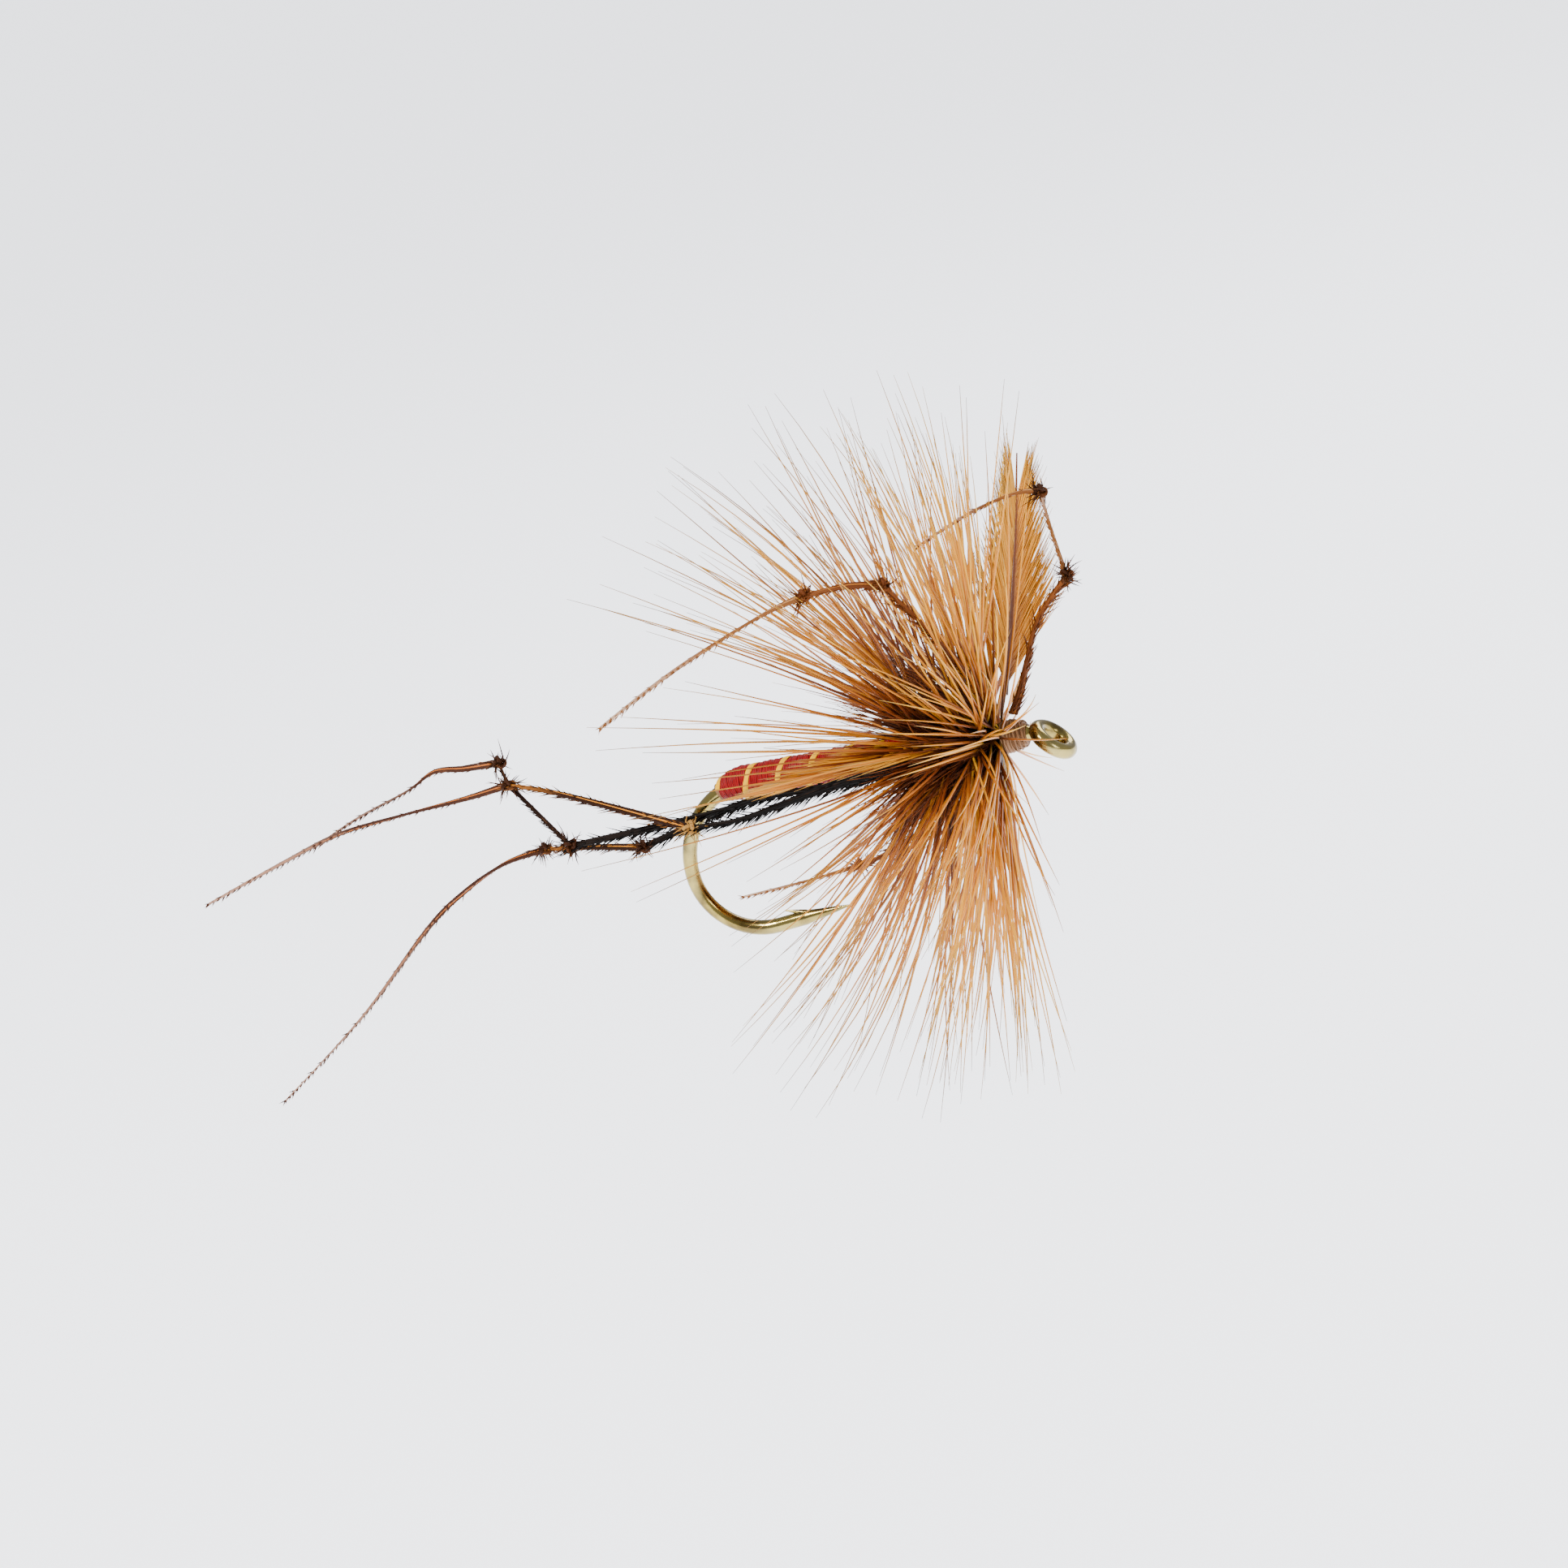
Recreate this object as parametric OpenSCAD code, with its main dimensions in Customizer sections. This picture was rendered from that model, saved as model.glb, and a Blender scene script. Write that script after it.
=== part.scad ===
// Long-legged dry fly, tied on a down-eyed, long-shank barbed hook.
// The origin is the centre of the hook's eye. The shank runs back along -X, the point hangs below (-Z).
// Left and right of the fly are +Y and -Y. All sizes are in millimetres.

/* [Hook] */
// Diameter of the hook wire
wire_d = 0.72; // [0.6:0.02:0.8]
// Distance from the eye's centre back to the start of the bend
shank_len = 14.8; // [14.6:0.1:15.0]
// Height of the shank's axis above the eye's centre
shank_z = 0.5; // [0.45:0.05:0.55]
// Radius of the upper half of the bend
bend_top_r = 4.2; // [4.1:0.1:4.3]
// Radius of the lower half of the bend
bend_low_r = 3.2; // [3.1:0.1:3.3]
// Angle at which the point's arm climbs towards its tip
point_rise = 6.8; // [4:0.2:9]
// Length of the arm from the bend to the tip of the point
point_len = 3.85; // [3.5:0.05:4.2]
// Length of the tapered end of the point
tip_len = 2.4; // [1.8:0.1:2.6]
// Length of the barb, along its back
barb_len = 1.05; // [0.8:0.05:1.1]
// Radius of the hole in the eye
eye_hole_r = 0.54; // [0.5:0.01:0.6]
// Diameter of the wire where it is bent into the eye
eye_wire_d = 0.74; // [0.7:0.02:0.76]
// Angle by which the eye is turned down from the shank
eye_drop = 45; // [35:1:50]

/* [Body] */
// Where the body and the hackle meet, behind the eye
body_front = 7.0; // [6.9:0.1:7.2]
// Diameter of the floss body at its front
body_front_d = 1.74; // [1.6:0.02:1.76]
// Diameter of the floss body where the bend starts
body_rear_d = 1.5; // [1.4:0.02:1.56]
// How far round the bend the body reaches
body_bend = 24; // [18:1:26]
// Thickness of the layer of tying thread under the body
thread_t = 0.1; // [0.06:0.01:0.12]
// Distance from one turn of the rib to the next
rib_pitch = 1.62; // [1.4:0.02:1.9]
// Width of the flat rib
rib_w = 0.24; // [0.18:0.01:0.3]

/* [Hackle] */
// Diameter of the wound hackle stems
stem_d = 0.28; // [0.22:0.02:0.3]
// Length of the longest hackle barbs
barb_reach = 16.4; // [14:0.2:17]
// Diameter of a barb at its root
barb_root_d = 0.1; // [0.08:0.01:0.11]
// Barbs modelled on each of the two feathers
barb_count = 42; // [30:1:48]

/* [Wings] */
// Length of each feather-tip wing
wing_len = 12.2; // [11:0.1:13]
// Width of a wing across both sides of its quill
wing_w = 3.6; // [3:0.1:3.8]

/* [Legs] */
// Diameter of a leg between the body and the knee knot
femur_d = 0.37; // [0.36:0.01:0.4]
// Diameter of a leg between its two knots
tibia_d = 0.3; // [0.26:0.02:0.32]
// Diameter of a leg's tip
leg_tip_d = 0.14; // [0.12:0.01:0.2]
// Diameter of the knots
knot_d = 0.74; // [0.72:0.02:0.8]
// Clearance beside each knot, so that the legs can bend there
knot_gap = 0.05; // [0.04:0.01:0.08]

/* [Hidden] */

wire_r = wire_d / 2;
eye_r = eye_hole_r - 0.03 + eye_wire_d / 2;
bend_z = shank_z - bend_top_r;
bend_x = -shank_len;
low_x = bend_x - bend_top_r + bend_low_r;
fine = 48;
fit = 0.02;
bore_r = wire_r + fit;
thread_r = bore_r + thread_t;
floss_bore_r = thread_r + fit;
head_back = 1.95;
head_front = 1.2;
rear_wrap_x = -6.5;
front_wrap_x = -2.15;
stem_r = stem_d / 2;
stem_turn_r = thread_r + fit + stem_r;
hackle_back = 6.05;
hackle_middle = 4.25;
hackle_front = 2.55;
gold = "#A79B5E";
thread_tan = "#C9A57F";
scarlet = "#D4272F";
yellow = "#F2D230";
ginger = "#D08F4F";
straw = "#E0B060";
chestnut = "#6B3A1C";
peat = "#2A1D15";

// Each leg is a list of hand-set points: hip to knee, knee to ankle, ankle to tip.
LEG1 = [
  [[-6.7, -1.15, 0.1], [-10.5, -1.2, -0.1], [-13.7, -1.2, -0.1], [-17.4, -1.2, -0.5], [-24.2, -1.2, -0.9]],
  [[-24.2, -1.2, -0.9], [-25.4, -1.2, 1.0], [-26.4, -1.2, 2.7], [-26.6, -1.2, 3.8]],
  [[-26.6, -1.2, 3.8], [-28.4, -1.2, 3.8], [-30, -1.2, 3.9], [-31.6, -1.2, 3.2], [-34.5, -1.2, 2.3],
    [-37.2, -1.2, 1.2]]
];
LEG2 = [
  [[-6.6, -1.7, 0.5], [-10.3, -1.8, 0.1], [-13, -1.8, -0.4], [-15.4, -1.8, -0.8], [-17.8, -1.8, -0.8]],
  [[-17.8, -1.8, -0.8], [-21.9, -1.8, 1.1], [-24.4, -1.8, 2.2], [-26.2, -1.8, 2.8]],
  [[-26.2, -1.8, 2.8], [-28.4, -1.8, 2.5], [-32, -1.8, 2.2], [-35.5, -1.8, 1.8], [-38.7, -1.8, 0.9],
    [-43.4, -1.8, -0.6]]
];
LEG3 = [
  [[-6.7, 1.15, 0.4], [-11, 1.25, -0.2], [-15, 1.3, -0.7], [-18.8, 1.3, -1.6], [-21.6, 1.3, -2.3]],
  [[-21.6, 1.3, -2.3], [-24.1, 1.3, -1.9], [-26.6, 1.3, -1.6]],
  [[-26.6, 1.3, -1.6], [-28.9, 1.3, -2], [-31.4, 1.3, -3.1], [-33.9, 1.3, -4.7], [-38.7, 1.3, -8.7],
    [-44.2, 1.3, -12.5]]
];
LEG4 = [
  [[-2.2, -0.9, 1.5], [-2.2, -1.4, 2.9], [-2.7, -2.5, 4.9], [-3.4, -3.8, 7.2], [-4.6, -5, 9.9]],
  [[-4.6, -5, 9.9], [-6, -5.6, 10.3], [-8, -6, 10.3]],
  [[-8, -6, 10.3], [-9.6, -6.5, 10], [-12.2, -6.6, 9.1], [-15.2, -6.8, 7.9], [-18.7, -7, 6.2]]
];
LEG5 = [
  [[-1.8, 0.8, 1.3], [-1.2, 0.9, 2.3], [-0.6, 1, 3.6], [0.4, 1, 5.5], [2.2, 1, 7.3]],
  [[2.2, 1, 7.3], [1.9, 1.4, 9.7], [1.7, 2, 11.2]],
  [[1.7, 2, 11.2], [0.4, 2.5, 11.2], [-2, 3, 10.6], [-5, 3.4, 9.4]]
];
LEG6 = [
  [[-6.9, 1.5, 0], [-8, 3, -1.6], [-9.6, 5, -4], [-10.3, 5.2, -5.5]],
  [[-10.3, 5.2, -5.5], [-11.3, 5.4, -6], [-12.6, 5.8, -6.4]],
  [[-12.6, 5.8, -6.4], [-15.6, 6.2, -6.9], [-19.2, 6.5, -7.3]]
];

// Wings: base point, then the direction that the quill points in, as [turn about the quill, climb, heading].
WING_NEAR_BASE = [-3.4, -1.2, 1.0];
WING_NEAR_TURN = [-12, 4.4, 212];
WING_FAR_BASE = [-2.1, 1.4, 2.1];
WING_FAR_TURN = [50, 55, 76];

// ---- small geometry helpers ----

function unit(v) = v / norm(v);

// A point of the smooth curve through the points p, a share t of the way from point i to the next.
function curve_point(p, i, t) =
  let (
    a = p[max(i - 1, 0)],
    b = p[i],
    c = p[i + 1],
    d = p[min(i + 2, len(p) - 1)]
  )
  0.5 * (2 * b + (c - a) * t + (2 * a - 5 * b + 4 * c - d) * t * t + (3 * b - a - 3 * c + d) * t * t * t);

function smooth_path(p, steps) = [
  for (i = [0 : len(p) - 2]) for (k = [0 : steps - 1]) curve_point(p, i, k / steps),
  p[len(p) - 1]
];

// The path p, with its last point drawn back by gap.
function shortened(p, gap) =
  let (n = len(p) - 1)
  [for (i = [0 : n]) i < n ? p[i] : p[n] + gap * unit(p[n - 1] - p[n])];

function heading(path, i) = unit(path[min(i + 1, len(path) - 1)] - path[max(i - 1, 0)]);

// One ring of a tube: sides points around the path's point i. Each lies rx out along the sideways axis
// and rz out along the other, where side is a direction that the path never runs along.
function ring(path, i, rx, rz, sides, side) =
  let (
    along = heading(path, i),
    out = unit(cross(along, side)),
    over = cross(out, along)
  )
  [for (k = [0 : sides - 1]) path[i] + rx * cos(360 * k / sides + 45) * over + rz * sin(360 * k / sides + 45) * out];

// A closed tube along the path. rx and rz are lists with one half-width for each point of the path.
module tube(path, rx, rz, sides, side) {
  rings = len(path);
  points = [for (i = [0 : rings - 1]) each ring(path, i, rx[i], rz[i], sides, side)];
  walls = [
    for (i = [0 : rings - 2]) for (k = [0 : sides - 1])
      let (a = i * sides + k, b = i * sides + (k + 1) % sides)
      each [[a, a + sides, b + sides], [a, b + sides, b]]
  ];
  first = [for (k = [0 : sides - 1]) k];
  last = [for (k = [sides - 1 : -1 : 0]) (rings - 1) * sides + k];
  polyhedron(points = points, faces = concat([first], walls, [last]), convexity = 4);
}

// Half-widths that run evenly from a to b over a path.
function taper(path, a, b) = [for (i = [0 : len(path) - 1]) a + (b - a) * i / (len(path) - 1)];

// A straight wire or sleeve that lies along X, from x0 to x1, about the shank's axis.
module along_shank(x0, x1, r0, r1) {
  translate([x0, 0, shank_z])
    rotate([0, 90, 0])
      cylinder(h = x1 - x0, r1 = r0, r2 = r1, $fn = fine);
}

// A length of the upper bend: a ring of outer radius r with a hole of radius hole, from angle a0 to a1.
module around_bend(a0, a1, r, hole) {
  translate([bend_x, 0, bend_z])
    rotate([90, 0, 0])
      rotate([0, 0, 90 + a0])
        rotate_extrude(angle = a1 - a0, $fn = 96)
          translate([bend_top_r, 0])
            difference() {
              circle(r = r, $fn = fine);
              circle(r = hole, $fn = fine);
            }
}

// ---- hook ----

module eye() {
  rotate([0, 90 - eye_drop, 0])
    rotate_extrude($fn = 64)
      intersection() {
        translate([eye_r, 0]) circle(d = eye_wire_d, $fn = fine);
        translate([eye_hole_r, -1]) square([2, 2]);
      }
}

module eye_neck() {
  difference() {
    union() {
      along_shank(bend_x, -1.15, wire_r, wire_r);
      translate([-1.15, 0, shank_z]) sphere(r = wire_r, $fn = fine);
    }
    rotate([0, 90 - eye_drop, 0]) cylinder(h = 4, r = eye_r, center = true, $fn = fine);
  }
}

module bend() {
  translate([bend_x, 0, bend_z])
    rotate([90, 0, 0])
      rotate([0, 0, 90])
        rotate_extrude(angle = 90, $fn = 96)
          translate([bend_top_r, 0]) circle(r = wire_r, $fn = fine);
  translate([low_x, 0, bend_z])
    rotate([90, 0, 0])
      rotate([0, 0, 180])
        rotate_extrude(angle = 90 + point_rise, $fn = 96)
          translate([bend_low_r, 0]) circle(r = wire_r, $fn = fine);
}

// The arm, its needle tip and its barb, drawn from the end of the bend with the arm along +X.
module point_arm() {
  straight = point_len - tip_len;
  arm_r = wire_r - 0.004;
  root_step = 0.1;
  translate([low_x, 0, bend_z])
    rotate([0, -point_rise, 0])
      translate([0, 0, -bend_low_r])
        rotate([0, 90, 0]) {
          translate([0, 0, -root_step]) cylinder(h = straight + root_step, r = arm_r, $fn = fine);
          translate([0, 0, straight]) cylinder(h = tip_len, r1 = arm_r, r2 = 0.03, $fn = fine);
          translate([-arm_r * 0.62, 0, straight + 0.1])
            rotate([0, -158, 0])
              cylinder(h = barb_len, r1 = 0.16, r2 = 0.03, $fn = fine);
        }
}

module hook() {
  color(gold) {
    eye();
    eye_neck();
    bend();
    point_arm();
  }
}

// ---- thread, body and rib ----

module thread_underbody() {
  color(thread_tan) {
    difference() {
      along_shank(bend_x, -head_back - fit, thread_r, thread_r);
      along_shank(bend_x - 1, 0, bore_r, bore_r);
    }
    around_bend(0, body_bend, thread_r, bore_r);
  }
}

module floss_body() {
  color(scarlet) {
    difference() {
      along_shank(bend_x, -body_front, body_rear_d / 2, body_front_d / 2);
      along_shank(bend_x - 1, 0, floss_bore_r, floss_bore_r);
    }
    around_bend(0, body_bend * 0.62, body_rear_d / 2, floss_bore_r);
    around_bend(body_bend * 0.62, body_bend * 0.9, body_rear_d / 2 - 0.12, floss_bore_r);
  }
}

// The rib is a flat strip wound over the floss, from the bend to the front of the body.
module rib() {
  turns = (shank_len - body_front - 0.5) / rib_pitch;
  steps = 18;
  count = floor(turns * steps);
  share = [for (i = [0 : count]) i / count];
  reach = shank_len - body_front - 0.5;
  path = [
    for (s = share)
      let (r = (body_rear_d + (body_front_d - body_rear_d) * s) / 2 + 0.06)
      [bend_x + 0.1 + reach * s, r * sin(360 * turns * s), shank_z - r * cos(360 * turns * s)]
  ];
  color(yellow) tube(path, taper(path, rib_w * 0.7, rib_w * 0.7), taper(path, 0.045, 0.045), 4, [1, 0, 0]);
}

module wrap_band(x, width, r) {
  difference() {
    along_shank(x - width / 2, x + width / 2, r, r);
    along_shank(x - width, x + width, thread_r + fit, thread_r + fit);
  }
}

module rear_tie_wraps() {
  color(thread_tan) wrap_band(rear_wrap_x, 0.5, 0.86);
}

module front_tie_wraps() {
  color(thread_tan) wrap_band(front_wrap_x, 0.3, 0.8);
}

module head_thread() {
  color(thread_tan)
    difference() {
      union() {
        along_shank(-head_back, -1.55, 0.8, 0.74);
        along_shank(-1.55, -head_front, 0.74, 0.5);
      }
      along_shank(-3, 0, bore_r, bore_r);
    }
}

// ---- hackle ----

// The stem of a hackle feather, wound round the thread from x_back to x_front.
module hackle_stem(x_back, x_front, turns) {
  steps = 14;
  count = turns * steps;
  path = [
    for (i = [0 : count])
      let (a = 360 * i / steps)
      [-x_back + (x_back - x_front) * i / count, stem_turn_r * sin(a), shank_z + stem_turn_r * cos(a)]
  ];
  tube(path, taper(path, stem_r, stem_r * 0.8), taper(path, stem_r, stem_r * 0.8), 6, [1, 0, 0]);
}

// Barbs stand out from the wound stem, and sweep back more at the top and the sides than underneath.
module hackle_barbs(x_back, x_front, turns, sweep_low, sweep_high, start) {
  golden = 0.618;
  root_r = stem_turn_r + stem_r + 0.02;
  for (i = [0 : barb_count - 1]) {
    s = (i + 0.5) / barb_count;
    around = 360 * turns * s + start;
    spread = (i * golden) % 1;
    under = (1 - cos(around)) / 2;
    low = sweep_low + (64 - sweep_low) * under;
    sweep = low + (sweep_high - low) * spread;
    reach = barb_reach * (0.86 + 0.14 * ((i * golden * golden) % 1));
    translate([-x_back + (x_back - x_front) * s, 0, shank_z])
      rotate([-around, 0, 0])
        translate([0, 0, root_r])
          rotate([0, sweep - 90, 0])
            cylinder(h = reach, r1 = barb_root_d / 2, r2 = 0.02, $fn = 16);
  }
}

module hackle_rear_quill() {
  color(chestnut) hackle_stem(hackle_back, hackle_middle + 0.16, 5);
}

module hackle_rear_barbs() {
  color(ginger) hackle_barbs(hackle_back, hackle_middle + 0.16, 5, 32, 92, 0);
}

module hackle_front_quill() {
  color(chestnut) hackle_stem(hackle_middle - 0.16, hackle_front, 5);
}

module hackle_front_barbs() {
  color(straw) hackle_barbs(hackle_middle - 0.16, hackle_front, 5, 44, 97, 37);
}

// ---- wings ----

// A wing's quill lies along its own +X, a little thinner towards the tip.
module wing_quill(base, turn) {
  color(chestnut)
    translate(base)
      rotate([turn[0], -turn[1], turn[2]])
        rotate([0, 90, 0])
          cylinder(h = wing_len * 0.93, r1 = 0.15, r2 = 0.06, $fn = 24);
}

// Half of a wing's outline: how wide the wing is on one side of its quill, a share s of the way to the tip.
function wing_half_width(s) = wing_w / 2 * pow(sin(180 * pow(s, 0.8)), 0.75);

module wing_vane(base, turn) {
  root = 0.1;
  slot = 0.18;
  steps = 12;
  outline = [
    for (i = [0 : steps])
      let (s = root + (1 - root) * i / steps)
      [wing_len * s, max(wing_half_width(s), slot + 0.05)]
  ];
  half = concat([[wing_len * root, slot]], outline, [[wing_len, slot]]);
  color(straw)
    translate(base)
      rotate([turn[0], -turn[1], turn[2]])
        for (flip = [0, 1])
          mirror([0, flip, 0])
            translate([0, 0, -0.05])
              linear_extrude(0.1)
                polygon(half);
}

module wing_near_quill() { wing_quill(WING_NEAR_BASE, WING_NEAR_TURN); }
module wing_near_vane() { wing_vane(WING_NEAR_BASE, WING_NEAR_TURN); }
module wing_far_quill() { wing_quill(WING_FAR_BASE, WING_FAR_TURN); }
module wing_far_vane() { wing_vane(WING_FAR_BASE, WING_FAR_TURN); }

// ---- legs ----

// A knot: a short bead whose axis runs across the fly, as the leg bends about it.
module knot(at) {
  translate(at)
    rotate([90, 0, 0])
      cylinder(h = knot_d * 0.8, d = knot_d, center = true, $fn = 32);
}

module femur(leg) {
  path = smooth_path(shortened(leg[0], knot_d / 2 + knot_gap), 3);
  r = femur_d / 2;
  color(peat) tube(path, taper(path, r, r * 0.85), taper(path, r, r * 0.85), 6, [0, 1, 0]);
}

module tibia(leg) {
  path = smooth_path(shortened(leg[1], knot_d / 2 + knot_gap), 3);
  r = tibia_d / 2;
  color(chestnut) {
    knot(leg[1][0]);
    tube(path, taper(path, r, r * 0.9), taper(path, r, r * 0.9), 6, [0, 1, 0]);
  }
}

module tarsus(leg) {
  path = smooth_path(leg[2], 3);
  r = tibia_d / 2;
  color(ginger) {
    knot(leg[2][0]);
    tube(path, taper(path, r, leg_tip_d / 2), taper(path, r, leg_tip_d / 2), 6, [0, 1, 0]);
  }
}

hook();
thread_underbody();
floss_body();
rib();
rear_tie_wraps();
front_tie_wraps();
head_thread();
hackle_rear_quill();
hackle_rear_barbs();
hackle_front_quill();
hackle_front_barbs();
wing_near_quill();
wing_near_vane();
wing_far_quill();
wing_far_vane();
femur(LEG1);  // leg1_femur
tibia(LEG1);  // leg1_tibia
tarsus(LEG1);  // leg1_tarsus
femur(LEG2);  // leg2_femur
tibia(LEG2);  // leg2_tibia
tarsus(LEG2);  // leg2_tarsus
femur(LEG3);  // leg3_femur
tibia(LEG3);  // leg3_tibia
tarsus(LEG3);  // leg3_tarsus
femur(LEG4);  // leg4_femur
tibia(LEG4);  // leg4_tibia
tarsus(LEG4);  // leg4_tarsus
femur(LEG5);  // leg5_femur
tibia(LEG5);  // leg5_tibia
tarsus(LEG5);  // leg5_tarsus
femur(LEG6);  // leg6_femur
tibia(LEG6);  // leg6_tibia
tarsus(LEG6);  // leg6_tarsus
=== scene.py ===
import math

import bpy
from mathutils import Matrix, Vector


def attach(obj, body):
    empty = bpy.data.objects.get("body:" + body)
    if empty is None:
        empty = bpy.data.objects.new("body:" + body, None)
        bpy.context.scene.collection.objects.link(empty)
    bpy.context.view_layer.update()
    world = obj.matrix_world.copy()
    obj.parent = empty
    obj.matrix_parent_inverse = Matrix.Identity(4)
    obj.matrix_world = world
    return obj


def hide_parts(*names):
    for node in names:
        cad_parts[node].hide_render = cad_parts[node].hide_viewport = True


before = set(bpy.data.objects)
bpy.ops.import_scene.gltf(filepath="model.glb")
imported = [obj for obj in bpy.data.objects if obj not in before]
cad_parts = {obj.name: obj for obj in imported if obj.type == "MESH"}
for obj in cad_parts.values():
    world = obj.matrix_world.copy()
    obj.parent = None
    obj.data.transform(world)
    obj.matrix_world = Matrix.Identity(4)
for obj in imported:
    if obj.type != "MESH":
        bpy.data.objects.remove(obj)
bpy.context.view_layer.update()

# ------------ sizes
# Everything is laid out in millimetres, in the frame's own axes, and scaled by MM at the end.
MM = 0.001

SHANK_Z = 0.5            # height of the shank above the eye's centre
BEND_X = -14.8           # where the shank starts to bend
BEND_R = 4.2             # radius of the upper half of the bend

BODY_FRONT = -7.0        # front end of the floss
BODY_BEND = 24.0         # degrees that the floss follows the bend
BODY_R_FRONT = 0.86
BODY_R_REAR = 0.76
BODY_RINGS = 300
BODY_SIDES = 72
TAIL_START = 0.86        # share of the body after which it rounds off
TAIL_POWER = 2.2
TAIL_DROP = 0.72
FLOSS_STRAND = 0.29      # from one wound strand of floss to the next
STRAND_RELIEF = 0.016    # height of the strands
UNEVEN_RELIEF = 0.009    # how much they differ
LUMP_RELIEF = 0.006      # lumps of the body itself

RIB_PITCH = 1.62
RIB_START = 0.35         # how far round it starts, in turns
RIB_BEGIN = 0.02         # from the front of the floss
RIB_COVER = 0.985        # share of the body that it is wound over
RIB_WIDTH = 0.3
RIB_WAVER = 0.12         # how much its width wavers, and how fast from step to step
RIB_WAVER_PACE = 0.31
RIB_HALF_THICK = 0.045
RIB_LIFT = 0.02          # from the drawn-in floss to the middle of the strip
RIB_SINK = 0.045         # how deep it draws the floss in, and how far to each side
RIB_SINK_REACH = 0.22
RIB_STEPS = 40           # a turn
RIB_SIDES = 10

HEAD = (-1.98, -1.12)
HEAD_R = (0.68, 0.44)    # radius of the core of the head at its back and front
THREAD_R = 0.05
THREAD_STEPS = 22        # a turn
THREAD_SIDES = 7
# Layers of the head: where each starts and ends, the radius there, the pitch, the angle that it starts at,
# how far its turns slant, and its tone.
HEAD_LAYERS = (
    (HEAD[0], HEAD[1], 0.68, 0.44, 0.085, 0.0, 0.0, 0.2),
    (HEAD[1] - 0.04, HEAD[0], 0.5, 0.74, 0.11, 1.0, 0.05, 0.5),
    (HEAD[0] + 0.06, HEAD[1] - 0.12, 0.76, 0.6, 0.16, 2.2, 0.12, 0.75),
    (HEAD[1] - 0.2, HEAD[0] + 0.1, 0.66, 0.78, 0.2, 4.0, -0.14, 0.95),
)
# The hidden wraps: middle, half-length and radius.
TIE_WRAPS = {"rear_tie_wraps": (-6.5, 0.25, 0.82), "front_tie_wraps": (-2.15, 0.15, 0.76)}

STEM_TURN_R = 0.64       # radius of the wound hackle stems
STEM_R = 0.13
STEM_TURNS = 5
STEM_STEPS = 24          # a turn
REAR_HACKLE = (-6.05, -4.41)
FRONT_HACKLE = (-4.09, -2.25)

# Legs, hip to knee, knee to ankle, ankle to tip: the same points as the frame's.
LEGS = {
    "leg1": (
        [(-6.7, -1.15, 0.1), (-10.5, -1.2, -0.1), (-13.7, -1.2, -0.1), (-17.4, -1.2, -0.5),
         (-24.2, -1.2, -0.9)],
        [(-24.2, -1.2, -0.9), (-25.4, -1.2, 1.0), (-26.4, -1.2, 2.7), (-26.6, -1.2, 3.8)],
        [(-26.6, -1.2, 3.8), (-28.4, -1.2, 3.8), (-30, -1.2, 3.9), (-31.6, -1.2, 3.2), (-34.5, -1.2, 2.3),
         (-37.2, -1.2, 1.2)],
    ),
    "leg2": (
        [(-6.6, -1.7, 0.5), (-10.3, -1.8, 0.1), (-13, -1.8, -0.4), (-15.4, -1.8, -0.8), (-17.8, -1.8, -0.8)],
        [(-17.8, -1.8, -0.8), (-21.9, -1.8, 1.1), (-24.4, -1.8, 2.2), (-26.2, -1.8, 2.8)],
        [(-26.2, -1.8, 2.8), (-28.4, -1.8, 2.5), (-32, -1.8, 2.2), (-35.5, -1.8, 1.8), (-38.7, -1.8, 0.9),
         (-43.4, -1.8, -0.6)],
    ),
    "leg3": (
        [(-6.7, 1.15, 0.4), (-11, 1.25, -0.2), (-15, 1.3, -0.7), (-18.8, 1.3, -1.6), (-21.6, 1.3, -2.3)],
        [(-21.6, 1.3, -2.3), (-24.1, 1.3, -1.9), (-26.6, 1.3, -1.6)],
        [(-26.6, 1.3, -1.6), (-28.9, 1.3, -2), (-31.4, 1.3, -3.1), (-33.9, 1.3, -4.7), (-38.7, 1.3, -8.7),
         (-44.2, 1.3, -12.5)],
    ),
    "leg4": (
        [(-2.2, -0.9, 1.5), (-2.2, -1.4, 2.9), (-2.7, -2.5, 4.9), (-3.4, -3.8, 7.2), (-4.6, -5, 9.9)],
        [(-4.6, -5, 9.9), (-6, -5.6, 10.3), (-8, -6, 10.3)],
        [(-8, -6, 10.3), (-9.6, -6.5, 10), (-12.2, -6.6, 9.1), (-15.2, -6.8, 7.9), (-18.7, -7, 6.2)],
    ),
    "leg5": (
        [(-1.8, 0.8, 1.3), (-1.2, 0.9, 2.3), (-0.6, 1, 3.6), (0.4, 1, 5.5), (2.2, 1, 7.3)],
        [(2.2, 1, 7.3), (1.9, 1.4, 9.7), (1.7, 2, 11.2)],
        [(1.7, 2, 11.2), (0.4, 2.5, 11.2), (-2, 3, 10.6), (-5, 3.4, 9.4)],
    ),
    "leg6": (
        [(-6.9, 1.5, 0), (-8, 3, -1.6), (-9.6, 5, -4), (-10.3, 5.2, -5.5)],
        [(-10.3, 5.2, -5.5), (-11.3, 5.4, -6), (-12.6, 5.8, -6.4)],
        [(-12.6, 5.8, -6.4), (-15.6, 6.2, -6.9), (-19.2, 6.5, -7.3)],
    ),
}
LEG_PARTS = ("femur", "tibia", "tarsus")
LEG_BODIES = ("upper", "middle", "lower")

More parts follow.
